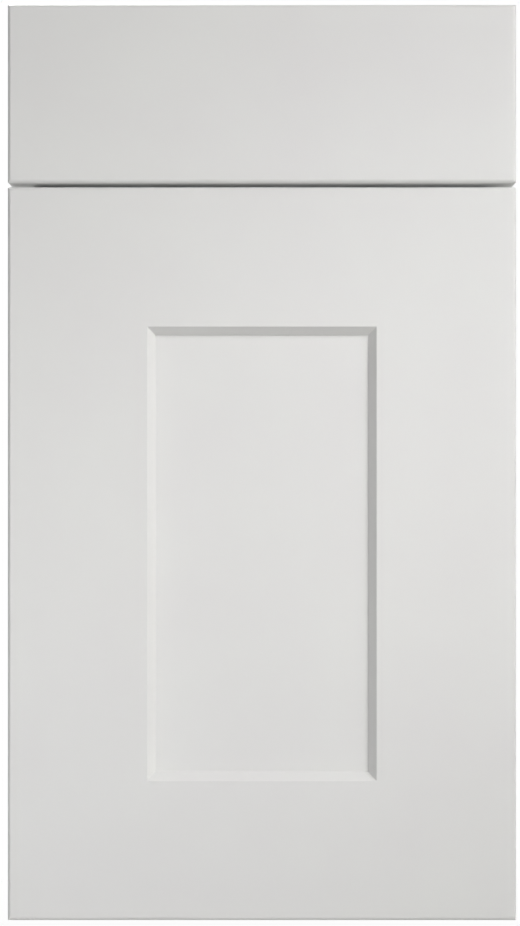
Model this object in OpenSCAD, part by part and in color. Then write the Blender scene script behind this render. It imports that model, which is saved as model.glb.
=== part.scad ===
// Shaker kitchen cabinet door with the plain drawer front above it, hung as one front.
// X runs across the front, Y from the face of the door (-Y) to its back (+Y), Z is up.
// The origin is the middle of the bottom edge, halfway between the face and the back of the joining plate.

/* [Whole front] */
// Width of the door and of the drawer front
front_w = 397; // [330:1:600]
// Height of the door
door_h = 572.5; // [480:0.5:900]
// Height of the drawer front
drawer_h = 139.5; // [110:0.5:300]
// Gap between the door and the drawer front
reveal = 3; // [2:0.5:5]
// Thickness of the boards
board_t = 20; // [19:0.5:25]

/* [Edges] */
// Radius of the outer edges on the face
face_edge_r = 3; // [1.5:0.25:4]
// Radius of the outer edges on the back
back_edge_r = 1; // [0.5:0.25:1.25]
// Radius of the four corners, seen from the front
corner_r = 1.5; // [0.5:0.25:3]

/* [Door frame] */
// Width of the stiles and rails on the face
frame_w = 109; // [70:1:115]
// How far the bevelled inner edge reaches in over the panel
bevel_w = 6; // [3:0.5:9]
// Upright step at the foot of the bevel
bevel_step = 0.8; // [0.5:0.1:2]
// Depth of the panel behind the face of the frame
recess_d = 7.5; // [5:0.5:8]
// Depth of the groove that holds the panel and the stub tenons
groove_depth = 10; // [8:0.5:12]
// Room at the tip of each stub tenon
tenon_tip_gap = 0.3; // [0.2:0.1:0.8]

/* [Centre panel] */
// Thickness of the panel
panel_t = 8; // [7.5:0.5:9]
// Room between the panel or tenon and each cheek of the groove
cheek_gap = 0.1; // [0.05:0.05:0.2]
// Room for the panel to move at each edge
panel_edge_gap = 0.8; // [0.5:0.1:2]

/* [Corner dowels] */
// Diameter of the dowels
dowel_d = 6; // [5:0.25:6]
// Length of the dowels
dowel_l = 40; // [32:1:50]
// Distance between the two dowels of a corner
dowel_spacing = 54; // [30:1:54]
// Chamfer on both ends of a dowel
dowel_chamfer = 0.8; // [0.5:0.1:1.2]
// Room all round a dowel
dowel_gap = 0.1; // [0.05:0.05:0.2]
// Room at each end of a dowel
dowel_end_gap = 1; // [0.5:0.5:2]

/* [Hinge cups] */
// Diameter of the bores for the hinge cups
cup_d = 35; // [26:1:35]
// Depth of the bores for the hinge cups
cup_depth = 12.5; // [11:0.5:13]
// Centre of the bore from the edge of the door
cup_edge = 22.5; // [20:0.5:24]
// Centre of the bore from the top or bottom of the door
cup_end = 100; // [70:1:130]
// Distance between the two pilot holes of a cup
cup_screw_spacing = 45; // [42:1:52]
// Pilot holes from the line of the bores, away from the edge
cup_screw_offset = 9.5; // [5:0.5:11]
// Diameter of the pilot holes
cup_screw_d = 3; // [2:0.5:3.5]
// Depth of the pilot holes
cup_screw_depth = 10; // [8:0.5:12]

/* [Joining plate] */
// How far the plate stays in from the sides of the front, clear of the cabinet's sides
plate_inset = 18; // [17:0.5:40]
// Height of the plate
plate_h = 60; // [54:1:80]
// Thickness of the plate
plate_t = 2; // [2:0.5:4]
// Radius of the plate's corners
plate_corner_r = 4; // [1:0.5:6]
// Distance between the row of holes above the gap and the row below it
plate_row_spacing = 34; // [30:1:38]
// Middle of the outermost holes from the ends of the plate
plate_end_hole = 20; // [12:1:30]
// Diameter of the holes
plate_hole_d = 4.2; // [4:0.1:5]

/* [Joining screws] */
// Length of a screw, with its head
screw_l = 15; // [12:1:16]
// Diameter of a screw's shank
screw_d = 3.5; // [3:0.1:3.8]
// Diameter of a screw's countersunk head
screw_head_d = 7; // [6:0.25:7.5]
// Room round a screw in the plate and in the boards
screw_gap = 0.05; // [0.05:0.05:0.1]
// Room past the tip of a screw
screw_end_gap = 1; // [0.5:0.5:2]
// Width of a screw's cross recess
cross_w = 1; // [0.8:0.1:1.4]
// Length of a screw's cross recess
cross_l = 3.8; // [3:0.1:4.2]
// Depth of a screw's cross recess
cross_depth = 1.2; // [0.8:0.1:1.4]

/* [Hidden] */
$fn = 96;
over = 1;  // how far a cutting shape reaches past what it cuts

face_y = -(board_t + plate_t) / 2;
back_y = face_y + board_t;
drawer_z = door_h + reveal;
gap_z = door_h + reveal / 2;

// The frame's section runs from the door's outer edge (0) to the sight line, where the panel comes into
// view. The tenons are as high as what the groove leaves of a rail.
sight = frame_w + bevel_w;
bevel_depth = recess_d - bevel_step;
groove_front = recess_d - cheek_gap;
groove_w = panel_t + 2 * cheek_gap;
tenon_h = sight - groove_depth;
half_opening = front_w / 2 - sight;
half_rail = half_opening + groove_depth - tenon_tip_gap;
panel_y = face_y + recess_d;
panel_reach = groove_depth - panel_edge_gap;

// Each dowel is centred on the bottom of the stile's groove, in the middle of the tenon's thickness.
dowel_x = half_opening + groove_depth;
dowel_y = panel_y + panel_t / 2;
dowel_zs = [for (middle = [tenon_h / 2, door_h - tenon_h / 2], side = [-1, 1])
            middle + side * dowel_spacing / 2];

cup_x = -front_w / 2 + cup_edge;
cup_zs = [cup_end, door_h - cup_end];

// The plate has two rows of four holes, evenly spaced.
plate_w = front_w - 2 * plate_inset;
plate_hole_x = plate_w / 2 - plate_end_hole;
plate_holes = [for (step = [-1, -1 / 3, 1 / 3, 1], side = [-1, 1])
               [step * plate_hole_x, gap_z + side * plate_row_spacing / 2]];

PAINT = "#DDDCD9";
BEECH = "#D8B98A";
ZINC = "#B9BEC4";

// Rectangle with round corners, standing on the middle of its bottom edge
module rounded_rect(w, h, r) {
    translate([-w / 2 + r, 0]) square([w - 2 * r, h]);
    translate([-w / 2, r]) square([w, h - 2 * r]);
    for (x = [-w / 2 + r, w / 2 - r], y = [r, h - r]) translate([x, y]) circle(r);
}

// Section through a board of width w, with its face on y = 0 and its own radius at the face and at the back
module eased_section(w) {
    intersection() {
        rounded_rect(w, board_t + 2 * face_edge_r, face_edge_r);
        translate([0, -2 * back_edge_r]) rounded_rect(w, board_t + 2 * back_edge_r, back_edge_r);
    }
}

// Upright board with its edges and corners eased, standing on z = 0
module board(w, h) {
    intersection() {
        translate([0, face_y, 0]) linear_extrude(h) eased_section(w);
        translate([w / 2, face_y, h / 2]) rotate([0, -90, 0]) linear_extrude(w) eased_section(h);
        translate([0, back_y, 0]) rotate([90, 0, 0]) linear_extrude(board_t) rounded_rect(w, h, corner_r);
    }
}

// Section of a stile or rail: x is the distance from the outer edge of the door, y runs from face to back.
// The groove is narrower by ease on both sides, which leaves the section that a tenon's end is coped to.
module frame_section(ease) {
    difference() {
        polygon([[-over, -over], [frame_w - bevel_w * over / bevel_depth, -over], [sight, bevel_depth],
                 [sight, board_t + over], [-over, board_t + over]]);
        translate([tenon_h, groove_front + ease]) square([groove_depth + over, groove_w - 2 * ease]);
    }
}

// Frame section run past both ends of the left stile
module stile_bar(ease) {
    translate([-front_w / 2, face_y, -over]) linear_extrude(door_h + 2 * over) frame_section(ease);
}

// Frame section run along the bottom rail, out to the tips of its tenons
module rail_bar() {
    translate([half_rail, face_y, 0]) rotate([0, -90, 0]) linear_extrude(2 * half_rail) frame_section(0);
}

module dowel_bores() {
    for (x = [-dowel_x, dowel_x], z = dowel_zs) translate([x, dowel_y, z]) rotate([0, 90, 0])
        cylinder(h = dowel_l + 2 * dowel_end_gap, r = dowel_d / 2 + dowel_gap, center = true);
}

// Holes for one hinge cup in the back: the bore for the cup and a pilot hole above and below it
module cup_bores(z) {
    translate([cup_x, back_y + over, z]) rotate([90, 0, 0]) cylinder(h = cup_depth + over, d = cup_d);
    for (side = [-1, 1])
        translate([cup_x + cup_screw_offset, back_y, z + side * cup_screw_spacing / 2]) rotate([90, 0, 0])
            drill(cup_screw_d, cup_screw_depth);
}

// Hole made by a twist drill, along +Z from its mouth at z = 0 to its point at z = depth
module drill(d, depth) {
    translate([0, 0, -over]) cylinder(h = depth - d / 2 + over, d = d);
    translate([0, 0, depth - d / 2]) cylinder(h = d / 2, d1 = d, d2 = 0);
}

module plain_stile() {
    intersection() {
        board(front_w, door_h);
        stile_bar(0);
    }
}

module stile_left() {
    color(PAINT) difference() {
        plain_stile();
        dowel_bores();
        joining_screw_holes();
        for (z = cup_zs) cup_bores(z);
    }
}

module stile_right() {
    color(PAINT) difference() {
        mirror([1, 0, 0]) plain_stile();
        dowel_bores();
        joining_screw_holes();
    }
}

// Bottom rail: its ends are coped over the stiles' bevels and leave stub tenons in the stiles' grooves
module plain_rail() {
    difference() {
        intersection() {
            board(front_w, door_h);
            rail_bar();
        }
        stile_bar(cheek_gap);
        mirror([1, 0, 0]) stile_bar(cheek_gap);
        dowel_bores();
    }
}

module rail_bottom() {
    color(PAINT) plain_rail();
}

module rail_top() {
    color(PAINT) difference() {
        translate([0, 0, door_h]) mirror([0, 0, 1]) plain_rail();
        joining_screw_holes();
    }
}

module centre_panel() {
    w = 2 * (half_opening + panel_reach);
    color(PAINT) translate([-w / 2, panel_y, sight - panel_reach])
        cube([w, panel_t, door_h - 2 * (sight - panel_reach)]);
}

module drawer_front() {
    color(PAINT) difference() {
        translate([0, 0, drawer_z]) board(front_w, drawer_h);
        joining_screw_holes();
    }
}

// Places its child at each joining screw, with z = 0 on the back of the boards and +Z into the wood
module at_joining_screws() {
    for (hole = plate_holes) translate([hole[0], back_y, hole[1]]) rotate([90, 0, 0]) children();
}

module joining_screw_holes() {
    at_joining_screws() drill(screw_d + 2 * screw_gap, screw_l - plate_t + screw_end_gap);
}

// Flat steel plate behind the gap, with countersunk holes
module joining_plate() {
    color(ZINC) difference() {
        translate([0, back_y + plate_t, gap_z - plate_h / 2]) rotate([90, 0, 0]) linear_extrude(plate_t)
            rounded_rect(plate_w, plate_h, plate_corner_r);
        at_joining_screws() translate([0, 0, -plate_t]) {
            translate([0, 0, -over]) cylinder(h = plate_t + 2 * over, d = plate_hole_d);
            screw_cone(screw_head_d / 2 + screw_gap, plate_hole_d / 2);
        }
    }
}

// Countersink: a 90 degree cone along +Z from its mouth at z = 0, run on past the mouth
module screw_cone(r_wide, r_narrow) {
    translate([0, 0, -over]) cylinder(h = r_wide - r_narrow + over, r1 = r_wide + over, r2 = r_narrow);
}

// Countersunk wood screw down +Z from the flat of its head, with its core drawn as thick as its thread
module joining_screw() {
    head_h = (screw_head_d - screw_d) / 2;
    difference() {
        union() {
            cylinder(h = head_h, d1 = screw_head_d, d2 = screw_d);
            cylinder(h = screw_l - screw_d, d = screw_d);
            translate([0, 0, screw_l - screw_d]) cylinder(h = screw_d, d1 = screw_d, d2 = 0);
        }
        cross_recess();
    }
}

module cross_recess() {
    intersection() {
        translate([0, 0, -over]) cylinder(h = cross_depth + over, r1 = cross_l / 2 + over, r2 = cross_w / 2);
        for (turn = [0, 90]) rotate(turn) cube([cross_l + 2 * over, cross_w, 3 * over], center = true);
    }
}

module joining_screws() {
    color(ZINC) at_joining_screws() translate([0, 0, -plate_t]) joining_screw();
}

module corner_dowels() {
    color(BEECH) for (x = [-dowel_x, dowel_x], z = dowel_zs) translate([x - dowel_l / 2, dowel_y, z])
        rotate([0, 90, 0]) dowel();
}

// Dowel along +Z with chamfered ends
module dowel() {
    r = dowel_d / 2;
    c = dowel_chamfer;
    rotate_extrude() polygon([[0, 0], [r - c, 0], [r, c], [r, dowel_l - c], [r - c, dowel_l], [0, dowel_l]]);
}

stile_left();
stile_right();
rail_top();
rail_bottom();
centre_panel();
drawer_front();
joining_plate();
joining_screws();
corner_dowels();
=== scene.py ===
"""Looks of a shaker kitchen cabinet door with the plain drawer front above it.

The boards are fibreboard under satin paint, with bare fibreboard in the bores for the hinge cups. The joining
plate and its screws are zinc-plated steel, and the dowels are fluted beech.
"""
import math

import bmesh
import bpy
import numpy as np
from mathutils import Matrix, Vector


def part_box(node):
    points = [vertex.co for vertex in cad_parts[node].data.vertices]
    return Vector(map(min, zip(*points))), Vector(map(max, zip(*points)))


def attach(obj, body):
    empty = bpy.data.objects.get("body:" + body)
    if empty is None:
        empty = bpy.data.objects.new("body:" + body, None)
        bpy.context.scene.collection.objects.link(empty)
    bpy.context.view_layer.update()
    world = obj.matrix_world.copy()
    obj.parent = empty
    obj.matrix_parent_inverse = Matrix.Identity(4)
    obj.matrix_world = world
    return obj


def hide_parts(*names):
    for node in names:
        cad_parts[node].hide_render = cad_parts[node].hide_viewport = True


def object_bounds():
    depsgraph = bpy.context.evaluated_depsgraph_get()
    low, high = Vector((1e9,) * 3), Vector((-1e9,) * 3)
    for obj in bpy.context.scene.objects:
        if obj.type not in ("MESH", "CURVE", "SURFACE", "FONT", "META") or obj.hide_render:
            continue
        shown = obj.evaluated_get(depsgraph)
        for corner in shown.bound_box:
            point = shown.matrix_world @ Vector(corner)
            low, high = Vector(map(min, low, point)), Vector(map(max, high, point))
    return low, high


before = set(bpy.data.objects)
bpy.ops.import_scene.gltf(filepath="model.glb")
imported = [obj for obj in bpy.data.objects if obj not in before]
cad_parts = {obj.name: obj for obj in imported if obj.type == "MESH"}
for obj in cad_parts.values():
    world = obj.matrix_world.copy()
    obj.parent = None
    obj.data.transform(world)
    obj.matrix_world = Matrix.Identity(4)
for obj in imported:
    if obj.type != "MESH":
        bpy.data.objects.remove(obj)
cad_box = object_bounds()

MM = 0.001

# Where the outline of the front lies in the picture, between pixel centres
IMAGE_W = 520
IMAGE_H = 926
FRONT_LEFT_PX = 7.45
FRONT_RIGHT_PX = 515.40
FRONT_TOP_PX = 4.65
FRONT_BOTTOM_PX = 919.40

# The boards
FRONT_H = cad_box[1][2] - cad_box[0][2]
FACE_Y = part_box("drawer_front")[0][1]
BACK_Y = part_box("drawer_front")[1][1]
FACE_EDGE_R = 3 * MM
STILE_LOW, STILE_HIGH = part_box("stile_left")

# Blind holes for a hinge cup and its two screws, in the back of the left stile
CUP_R = 17.5 * MM
CUP_FROM_EDGE = 22.5 * MM
CUP_FROM_END = 100 * MM
PILOT_R = 1.5 * MM
PILOT_OFFSET = 9.5 * MM
PILOT_HALF_SPACING = 22.5 * MM
HOLE_MARGIN = 0.2 * MM  # so that a hole's own wall counts as inside it
HOLES_END = 14 * MM  # deeper than the holes, short of the face
PAINT_FILM = 0.12 * MM

# Joining plate and screws
PLATE_EASE = 0.25 * MM
EASE_SEGMENTS = 2
EASE_FROM_DEG = 35  # flatter edges stay as they are
MERGE_DISTANCE = 0.001 * MM
SCREW_R = 1.75 * MM
SCREW_L = 15 * MM
SCREW_HEAD_H = 1.75 * MM
SCREW_HEAD_BACK_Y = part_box("joining_screws")[1][1]
NECK_MARGIN = 0.05 * MM  # a face that begins this little past the neck is the head's
SCREW_TIP_L = 5.25 * MM
SCREW_TIP_SHARE = 0.02  # of the radius, left at the very tip
THREAD_CORE_R = 1.15 * MM
THREAD_PITCH = 1.6 * MM
THREAD_RIDGE_SHARE = 0.4  # of the pitch, which the ridge takes at its foot
THREAD_FROM = 0.8 * SCREW_HEAD_H  # the core begins inside the head
THREAD_SIDES = 24
THREAD_STEPS = 14  # along one pitch

# Dowels
DOWEL_CHAMFER = 0.8 * MM
DOWEL_FLUTES = 20
FLUTE_DEPTH = 0.3 * MM
FLUTE_SIDES = 8  # round one flute

# Colours of the finishes, each dark to light
PAINT_COLOURS = ("#DDDCDB", "#DFDFDD")
FIBREBOARD_COLOURS = ("#8E6F4B", "#C4A67D")
PLATE_COLOURS = ("#C3C7CA", "#C9CCCF")
SCREW_COLOURS = ("#A3A7AB", "#B4B7BA")
BEECH_COLOURS = ("#C79F70", "#DDBE93")
BEECH_PORE_COLOUR = "#8C6238"

# Camera and floor, in metres
CAMERA_DISTANCE = 1.15
CAMERA_NEAREST = 0.01
SENSOR_H_MM = 36.0
FLOOR_Z = -0.15  # a kitchen front hangs this high above the floor, over its plinth
FLOOR_HALF = 6.0
FLOOR_COLOUR = "#B4B4B2"
FLOOR_WHITENESS = 0.88  # the share of plain white that the eye sees under the front
FLOOR_FADE_FROM = 0.15  # from the point under the front to where the floor starts to turn white
FLOOR_FADE_TO = 0.7

# The light comes from the upper right, and is brightest on the right at two thirds of the front's height.
# Each soft box is a name, a place, the point it is aimed at, its width and height in metres, its power in
# watts, its colour and the angle in degrees over which it spreads.
AMBIENT = 0.02
LAMPS = [
    ("key_right", (2.6, -2.35, 2.5), (0.0, 0.0, 0.36), 2.2, 2.2, 89.5, "#FFFFFF", 180),
    ("narrow_right", (1.2, -1.3, 1.6), (0.0, 0.0, 0.27), 0.5, 0.5, 0.366, "#FFFFFF", 28),
    ("near_front", (0.38, -0.85, 0.46), (0.10, 0.0, 0.40), 0.5, 0.7, 1.155, "#FFFAF4", 180),
    ("low_left", (-0.8, -1.1, 0.05), (0.0, 0.0, 0.30), 0.8, 0.5, 4.14, "#FAFCFF", 180),
    ("front_far", (0.15, -2.6, 0.45), (0.0, 0.0, 0.36), 1.2, 1.2, 7.7, "#FFFFFF", 180),
    ("rear_high", (-0.8, 1.6, 2.3), (0.0, 0.0, 0.36), 1.4, 1.4, 62.0, "#FFFFFF", 180),
]
WHITE = (1, 1, 1, 1)


def linear(hex_colour):
    """An sRGB hex colour as linear red, green and blue, with an alpha of 1."""
    channels = [int(hex_colour[i:i + 2], 16) / 255 for i in (1, 3, 5)]
    return [c / 12.92 if c <= 0.04045 else ((c + 0.055) / 1.055) ** 2.4 for c in channels] + [1.0]


# Camera and lamps

def aim(obj, place, target):
    """Puts a camera or lamp at a place, looking at the target."""
    obj.location = place
    obj.rotation_euler = (Vector(target) - Vector(place)).to_track_quat("-Z", "Y").to_euler()


def make_camera():
    """Level camera that faces the front squarely, with the front's outline where the picture has it. The
    outline lies where the rounded edges end, their radius behind the face."""
    outline_y = FACE_Y + FACE_EDGE_R
    metres_per_px = FRONT_H / (FRONT_BOTTOM_PX - FRONT_TOP_PX)
    right = ((FRONT_LEFT_PX + FRONT_RIGHT_PX) / 2 - (IMAGE_W - 1) / 2) * metres_per_px
    down = ((FRONT_TOP_PX + FRONT_BOTTOM_PX) / 2 - (IMAGE_H - 1) / 2) * metres_per_px
    camera = bpy.data.objects.new("camera", bpy.data.cameras.new("camera"))
    camera.data.sensor_fit = "VERTICAL"
    camera.data.sensor_height = SENSOR_H_MM
    camera.data.lens = SENSOR_H_MM * CAMERA_DISTANCE / (IMAGE_H * metres_per_px)
    camera.data.clip_start = CAMERA_NEAREST
    place = Vector((-right, outline_y - CAMERA_DISTANCE, FRONT_H / 2 + down))
    aim(camera, place, place + Vector((0, 1, 0)))
    bpy.context.collection.objects.link(camera)
    bpy.context.scene.camera = camera


def soft_box(name, place, target, width, height, power, colour, spread_deg):
    """A rectangular soft box, with a grid over it where its light spreads less than 180 degrees."""
    light = bpy.data.lights.new(name, "AREA")
    light.shape = "RECTANGLE"
    light.size = width
    light.size_y = height
    light.energy = power
    light.color = linear(colour)[:3]
    light.spread = math.radians(spread_deg)
    lamp = bpy.data.objects.new(name, light)
    aim(lamp, place, target)
    bpy.context.collection.objects.link(lamp)


# Shader nodes

def add(tree, kind, settings=None, links=None):
    """Adds a node. A setting goes to the input of that name or number, or else to the property; a link joins
    an input to another node's output."""
    node = tree.nodes.new(kind)
    for key, value in (settings or {}).items():
        if isinstance(key, int) or key in node.inputs:
            node.inputs[key].default_value = value
        else:
            setattr(node, key, value)
    for key, output in (links or {}).items():
        tree.links.new(output, node.inputs[key])
    return node


def noise(tree, place, size, detail=2.0, stretch=(1, 1, 1)):
    """Noise whose lumps are about size metres across, longer along an axis whose stretch is below 1."""
    scale = [s / size for s in stretch]
    scaled = add(tree, "ShaderNodeMapping", {"Scale": scale}, {"Vector": place}).outputs[0]
    return add(tree, "ShaderNodeTexNoise", {"Scale": 1.0, "Detail": detail}, {"Vector": scaled}).outputs[0]


def ranged(tree, value, low, high, first=0.3, last=0.7):
    """A value brought from the range first to last, by default that of noise, to the range low to high."""
    settings = {"From Min": first, "From Max": last, "To Min": low, "To Max": high}
    return add(tree, "ShaderNodeMapRange", settings, {"Value": value}).outputs[0]


def calculate(tree, operation, first, second):
    """One operation on two numbers, each a number or an output."""
    node = add(tree, "ShaderNodeMath", {"operation": operation})
    for socket, value in zip(node.inputs, (first, second)):
        if isinstance(value, (int, float)):
            socket.default_value = value
        else:
            tree.links.new(value, socket)
    return node.outputs[0]


def blend_colours(tree, factor, first, second):
    """The first colour where the factor is 0, the second where it is 1, each a hex colour or an output."""
    node = add(tree, "ShaderNodeMix", {"data_type": "RGBA"}, {0: factor})
    first_input, second_input = node.inputs[6:8]
    for socket, colour in ((first_input, first), (second_input, second)):
        if isinstance(colour, str):
            socket.default_value = linear(colour)
        else:
            tree.links.new(colour, socket)
    return node.outputs[2]


def bump(tree, height, distance, under=None):
    """Bump of a height from 0 to 1 that stands distance metres high, on top of the bump under it."""
    links = {"Height": height}
    if under is not None:
        links["Normal"] = under
    return add(tree, "ShaderNodeBump", {"Strength": 1.0, "Distance": distance}, links).outputs[0]


def white_to_eye(tree, shown, lit):
    """lit for the rays that light the object, and shown for camera, glossy and clear rays."""
    path = add(tree, "ShaderNodeLightPath").outputs
    seen = calculate(tree, "MAXIMUM", path["Is Camera Ray"], path["Is Glossy Ray"])
    seen = calculate(tree, "MAXIMUM", seen, path["Is Transmission Ray"])
    return add(tree, "ShaderNodeMixShader", links={0: seen, 1: lit, 2: shown}).outputs[0]


# Surroundings

def make_world():
    """Even dim light from all round, and plain white where the camera sees past the object."""
    world = bpy.data.worlds.new("studio")
    bpy.context.scene.world = world
    world.use_nodes = True
    tree = world.node_tree
    tree.nodes.clear()
    shown = add(tree, "ShaderNodeBackground", {"Color": WHITE, "Strength": 1.0})
    lit = add(tree, "ShaderNodeBackground", {"Color": WHITE, "Strength": AMBIENT})
    surface = white_to_eye(tree, shown.outputs[0], lit.outputs[0])
    add(tree, "ShaderNodeOutputWorld", links={"Surface": surface})


def floor_paint():
    """Pale matt floor paint. It shows nearly white with a faint shadow under and behind the front, and turns
    plain white further out, so that no far edge shows."""
    material = bpy.data.materials.new("floor_paint")
    material.use_nodes = True
    tree = material.node_tree
    tree.nodes.clear()
    lit = add(tree, "ShaderNodeBsdfDiffuse", {"Color": linear(FLOOR_COLOUR)})
    white = add(tree, "ShaderNodeEmission", {"Color": WHITE, "Strength": 1.0})
    place = add(tree, "ShaderNodeTexCoord").outputs["Object"]
    away = add(tree, "ShaderNodeVectorMath", {"operation": "DISTANCE", 1: (0, 0, FLOOR_Z)}, {0: place})
    whiteness = ranged(tree, away.outputs["Value"], FLOOR_WHITENESS, 1.0, FLOOR_FADE_FROM, FLOOR_FADE_TO)
    shown = add(tree, "ShaderNodeMixShader", links={0: whiteness, 1: lit.outputs[0], 2: white.outputs[0]})
    surface = white_to_eye(tree, shown.outputs[0], lit.outputs[0])
    add(tree, "ShaderNodeOutputMaterial", links={"Surface": surface})
    return material


def make_floor():
    """Flat square floor."""
    mesh = bpy.data.meshes.new("floor")
    corners = [(x * FLOOR_HALF, y * FLOOR_HALF, FLOOR_Z) for x, y in ((-1, -1), (1, -1), (1, 1), (-1, 1))]
    mesh.from_pydata(corners, [], [(0, 1, 2, 3)])
    mesh.materials.append(floor_paint())
    floor = bpy.data.objects.new("floor", mesh)
    bpy.context.collection.objects.link(floor)


# Finishes

def new_material(name):
    """A material with its node tree, its shader and the Object coordinates that its patterns follow."""
    material = bpy.data.materials.new(name)
    material.use_nodes = True
    tree = material.node_tree
    place = add(tree, "ShaderNodeTexCoord").outputs["Object"]
    return material, tree, tree.nodes["Principled BSDF"], place


def link_finish(tree, shader, colour, roughness, normal):
    """Links what varies over the surface to the shader."""
    tree.links.new(colour, shader.inputs["Base Color"])
    tree.links.new(roughness, shader.inputs["Roughness"])
    tree.links.new(normal, shader.inputs["Normal"])


def inside_holes(tree, place, holes):
    """1 in the round blind holes in the back, each given as (x, z, radius), from under the paint film at
    their mouths down; 0 everywhere else."""
    x, y, z = add(tree, "ShaderNodeSeparateXYZ", links={"Vector": place}).outputs
    flat = add(tree, "ShaderNodeCombineXYZ", links={"X": x, "Z": z}).outputs[0]
    found = 0.0
    for hole_x, hole_z, radius in holes:
        axis = {"operation": "DISTANCE", 1: (hole_x, 0, hole_z)}
        from_axis = add(tree, "ShaderNodeVectorMath", axis, {0: flat}).outputs["Value"]
        within = calculate(tree, "LESS_THAN", from_axis, radius + HOLE_MARGIN)
        found = calculate(tree, "MAXIMUM", found, within)
    below_paint = calculate(tree, "LESS_THAN", y, BACK_Y - PAINT_FILM)
    behind_face = calculate(tree, "GREATER_THAN", y, BACK_Y - HOLES_END)
    return calculate(tree, "MULTIPLY", found, calculate(tree, "MULTIPLY", below_paint, behind_face))


def painted_board(name, holes=()):
    """Satin water-based paint sprayed on fibreboard: an even, slightly warm pale grey, with the fine orange
    peel of a sprayed film. Where it was drilled after painting, the bare fibreboard shows: tan, matt and
    fibrous."""
    material, tree, shader, place = new_material(name)
    peel = noise(tree, place, 2.2 * MM)
    flow = noise(tree, place, 16 * MM, 1.0)
    cloud = noise(tree, place, 90 * MM, 3.0)
    colour = blend_colours(tree, ranged(tree, cloud, 0, 1), *PAINT_COLOURS)
    roughness = ranged(tree, flow, 0.40, 0.47)
    normal = bump(tree, peel, 0.010 * MM, bump(tree, flow, 0.02 * MM))
    if holes:
        bare = inside_holes(tree, place, holes)
        fibre = noise(tree, place, 0.9 * MM, 4.0)
        bare_colour = blend_colours(tree, ranged(tree, fibre, 0, 1), *FIBREBOARD_COLOURS)
        colour = blend_colours(tree, bare, colour, bare_colour)
        roughness = calculate(tree, "MAXIMUM", roughness, calculate(tree, "MULTIPLY", bare, 0.95))
        normal = bump(tree, calculate(tree, "MULTIPLY", fibre, bare), 0.12 * MM, normal)
    link_finish(tree, shader, colour, roughness, normal)
    shader.inputs["IOR"].default_value = 1.5
    return material


def zinc(name, colours, line_depth):
    """Bright zinc plating on steel: a cool grey metal, faintly clouded, over rolling lines along X that are
    line_depth metres deep."""
    material, tree, shader, place = new_material(name)
    cloud = noise(tree, place, 7 * MM, 4.0)
    lines = noise(tree, place, 0.4 * MM, 3.0, (0.015, 1, 1))
    colour = blend_colours(tree, ranged(tree, cloud, 0, 1), *colours)
    roughness = calculate(tree, "ADD", ranged(tree, cloud, 0.20, 0.24), ranged(tree, lines, 0, 0.06))
    link_finish(tree, shader, colour, roughness, bump(tree, lines, line_depth))
    shader.inputs["Metallic"].default_value = 1.0
    return material


def beech(name):
    """Turned beech: pale pinkish tan, with short darker pores drawn out along the dowel's X."""
    material, tree, shader, place = new_material(name)
    grain = noise(tree, place, 1.2 * MM, 3.0, (0.08, 1, 1))
    pores = noise(tree, place, 0.3 * MM, 1.0, (0.1, 1, 1))
    colour = blend_colours(tree, ranged(tree, grain, 0, 1), *BEECH_COLOURS)
    colour = blend_colours(tree, ranged(tree, pores, 0.35, -0.1), colour, BEECH_PORE_COLOUR)
    tree.links.new(colour, shader.inputs["Base Color"])
    tree.links.new(bump(tree, pores, 0.05 * MM), shader.inputs["Normal"])
    shader.inputs["Roughness"].default_value = 0.62
    return material


# Meshes

def tube(rings):
    """The points and faces of a closed tube from an array of rings by points by 3. Each ring's last point is
    next to its first, and one face closes each end."""
    count, sides, _ = rings.shape
    ring, side = np.meshgrid(np.arange(count - 1), np.arange(sides), indexing="ij")
    after = (side + 1) % sides
    quads = np.stack([ring * sides + side, ring * sides + after,
                      (ring + 1) * sides + after, (ring + 1) * sides + side], axis=-1).reshape(-1, 4)
    first_end = list(range(sides))[::-1]
    last_end = list(range((count - 1) * sides, count * sides))
    return rings.reshape(-1, 3), quads.tolist() + [first_end, last_end]


def joined(name, parts):
    """One object from several shells, each given as its points and faces."""
    points, faces, start = [], [], 0
    for shell_points, shell_faces in parts:
        points.append(shell_points)
        faces.extend([[i + start for i in face] for face in shell_faces])
        start += len(shell_points)
    mesh = bpy.data.meshes.new(name)
    mesh.from_pydata(np.concatenate(points).tolist(), [], faces)
    mesh.validate()
    piece = bpy.data.objects.new(name, mesh)
    bpy.context.collection.objects.link(piece)
    return piece


def merged(mesh):
    """A working copy of a CAD node's mesh with its doubles merged."""
    work = bmesh.new()
    work.from_mesh(mesh)
    bmesh.ops.remove_doubles(work, verts=work.verts, dist=MERGE_DISTANCE)
    return work


def solid_boxes(node):
    """The lowest and highest corner of each separate solid of a CAD node. A solid is all the points that
    edges join."""
    work = merged(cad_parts[node].data)
    reached = set()
    boxes = []
    for first in work.verts:
        if first in reached:
            continue
        points, border = [], [first]
        while border:
            vert = border.pop()
            if vert not in reached:
                reached.add(vert)
                points.append(vert.co[:])
                border.extend(edge.other_vert(vert) for edge in vert.link_edges)
        boxes.append((np.min(points, axis=0), np.max(points, axis=0)))
    work.free()
    return boxes


# Pieces

def joining_plate():
    """The joining plate with its sharp edges eased, as after deburring."""
    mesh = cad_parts["joining_plate"].data.copy()
    mesh.name = "zinc_joining_plate"
    work = merged(mesh)
    work.to_mesh(mesh)
    work.free()
    plate = bpy.data.objects.new("zinc_joining_plate", mesh)
    bpy.context.collection.objects.link(plate)
    ease = plate.modifiers.new("ease", "BEVEL")
    ease.width = PLATE_EASE
    ease.segments = EASE_SEGMENTS
    ease.limit_method = "ANGLE"
    ease.angle_limit = math.radians(EASE_FROM_DEG)
    return plate


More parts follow.
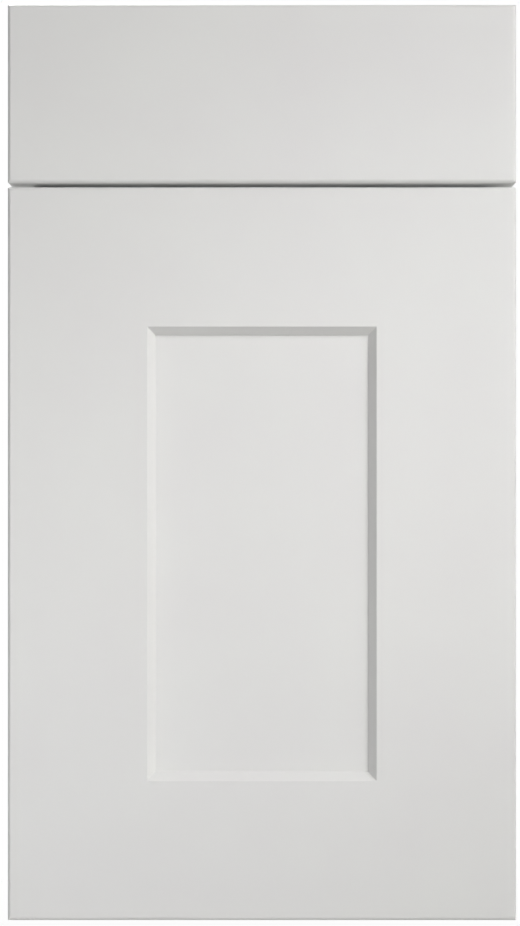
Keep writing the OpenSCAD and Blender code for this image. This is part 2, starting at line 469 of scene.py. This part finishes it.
def screw_heads():
    """The points and faces of the screws' heads, cut off the CAD node at their necks and closed there."""
    neck_y = SCREW_HEAD_BACK_Y - SCREW_HEAD_H - NECK_MARGIN
    work = merged(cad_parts["joining_screws"].data)
    shanks = [face for face in work.faces if min(vert.co.y for vert in face.verts) < neck_y]
    bmesh.ops.delete(work, geom=shanks, context="FACES")
    bmesh.ops.holes_fill(work, edges=work.edges, sides=0)
    work.verts.index_update()
    points = np.array([vert.co[:] for vert in work.verts])
    faces = [[vert.index for vert in face.verts] for face in work.faces]
    work.free()
    return points, faces


def screw_thread(low, high):
    """The thread of a screw whose solid reaches from low to high, its head at the high end of Y: a round core
    along Y whose radius rises to the crest in a sharp ridge once each pitch, the ridge climbing round with
    the turn, and which narrows to the tip over its last stretch."""
    middle = (low + high) / 2
    turn = np.linspace(0, 2 * math.pi, THREAD_SIDES, endpoint=False)
    depth = np.arange(THREAD_FROM, SCREW_L, THREAD_PITCH / THREAD_STEPS)[:, None]
    climb = depth / THREAD_PITCH + turn / (2 * math.pi)
    ridge = np.clip(1 - np.abs(climb % 1 - 0.5) / (THREAD_RIDGE_SHARE / 2), 0, 1)
    start = np.clip((depth - SCREW_HEAD_H) / THREAD_PITCH, 0, 1)
    taper = np.clip((SCREW_L - depth) / SCREW_TIP_L, SCREW_TIP_SHARE, 1)
    reach = taper * (THREAD_CORE_R + (SCREW_R - THREAD_CORE_R) * ridge * start)
    x, z = middle[0] + reach * np.cos(turn), middle[2] + reach * np.sin(turn)
    y = np.broadcast_to(high[1] - depth, reach.shape)
    return tube(np.stack([x, y, z], axis=-1))


def fluted_dowel(low, high):
    """A dowel whose solid reaches from low to high: a circle along X whose radius dips by the flute depth in
    twenty round waves, drawn in at both ends along the chamfer."""
    middle, radius = (low + high) / 2, (high[2] - low[2]) / 2
    turn = np.linspace(0, 2 * math.pi, DOWEL_FLUTES * FLUTE_SIDES, endpoint=False)
    along = np.array([low[0], low[0] + DOWEL_CHAMFER, high[0] - DOWEL_CHAMFER, high[0]])[:, None]
    girth = np.array([radius - DOWEL_CHAMFER, radius, radius, radius - DOWEL_CHAMFER])[:, None]
    reach = girth + np.clip(np.cos(turn * DOWEL_FLUTES), -1, 0) * FLUTE_DEPTH
    x = np.broadcast_to(along, reach.shape)
    y, z = middle[1] + reach * np.cos(turn), middle[2] + reach * np.sin(turn)
    return tube(np.stack([x, y, z], axis=-1))


def cup_holes():
    """The hinge cups' holes and their screws' pilot holes, each as (x, z, radius)."""
    cup_x = STILE_LOW[0] + CUP_FROM_EDGE
    holes = []
    for cup_z in (STILE_LOW[2] + CUP_FROM_END, STILE_HIGH[2] - CUP_FROM_END):
        holes.append((cup_x, cup_z, CUP_R))
        for side in (-1, 1):
            holes.append((cup_x + PILOT_OFFSET, cup_z + side * PILOT_HALF_SPACING, PILOT_R))
    return holes


def repaint(node, material):
    """Puts a material on a CAD node that shows as it is."""
    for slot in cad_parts[node].material_slots:
        slot.material = material


def dress(piece, node, material):
    """The piece stands for the CAD node, moves with the front and wears the material."""
    piece.data.materials.clear()
    piece.data.materials.append(material)
    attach(piece, "root")
    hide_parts(node)


make_camera()
make_world()
make_floor()
for lamp in LAMPS:
    soft_box(*lamp)

paint = painted_board("satin_paint_on_fibreboard")
for board in ("stile_right", "rail_top", "rail_bottom", "centre_panel", "drawer_front"):
    repaint(board, paint)
repaint("stile_left", painted_board("satin_paint_and_bare_fibreboard", cup_holes()))

plate_zinc = zinc("zinc_on_rolled_steel", PLATE_COLOURS, 0.008 * MM)
dress(joining_plate(), "joining_plate", plate_zinc)

threads = [screw_thread(low, high) for low, high in solid_boxes("joining_screws")]
screws = joined("threaded_joining_screws", [screw_heads()] + threads)
dress(screws, "joining_screws", zinc("zinc_on_headed_steel", SCREW_COLOURS, 0.002 * MM))

dowels = joined("fluted_dowels", [fluted_dowel(low, high) for low, high in solid_boxes("corner_dowels")])
dress(dowels, "corner_dowels", beech("turned_beech"))

bpy.context.scene.view_settings.view_transform = "Standard"
